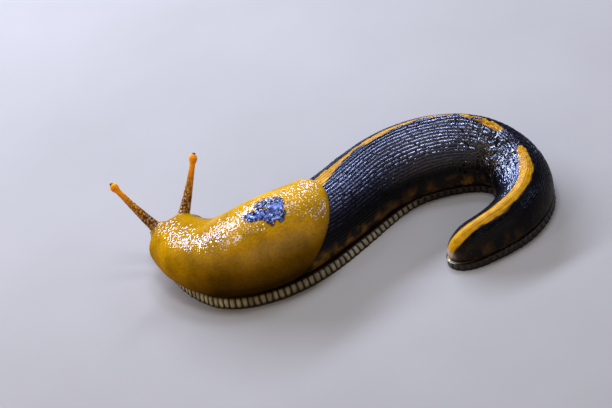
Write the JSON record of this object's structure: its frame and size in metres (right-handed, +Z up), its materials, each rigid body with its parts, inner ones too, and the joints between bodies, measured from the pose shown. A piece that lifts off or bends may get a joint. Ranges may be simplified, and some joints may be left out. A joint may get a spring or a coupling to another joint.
{
  "type": "banana slug",
  "caption": "Life-size banana slug at rest, head turned aside, tentacles raised and keeled tail curled round beside it, on a flat fringed foot.",
  "frame": {"origin": "centre of the animal's box, on the ground under the flat sole", "axes": "+X along the animal's longest extent, towards the curl of the tail; +Y towards where the head points; +Z up from the sole"},
  "size_m": [0.1123, 0.0537, 0.0249],
  "materials": {
    "mantle_skin": "wet, finely granular",
    "head_skin": "wet, finely granular",
    "back_skin": "wet, ridged lengthwise",
    "foot_skin": "wet, folded",
    "tentacle_skin": "moist, finely granular",
    "eye_black": "wet, glossy"
  },
  "bodies": {
    "root": {"head": "head_skin", "neck": "head_skin", "mantle": "mantle_skin", "body_front": "back_skin", "body_middle": "back_skin", "body_rear": "back_skin", "tail_base": "back_skin", "tail_tip": "back_skin", "foot_front": "foot_skin", "foot_middle": "foot_skin", "foot_rear": "foot_skin", "foot_curl": "foot_skin", "foot_tail": "foot_skin", "tentacle_upper_left": "tentacle_skin", "tentacle_upper_right": "tentacle_skin", "tentacle_lower_left": "tentacle_skin", "tentacle_lower_right": "tentacle_skin", "eye_left": "eye_black", "eye_right": "eye_black"}
  },
  "joints": []
}
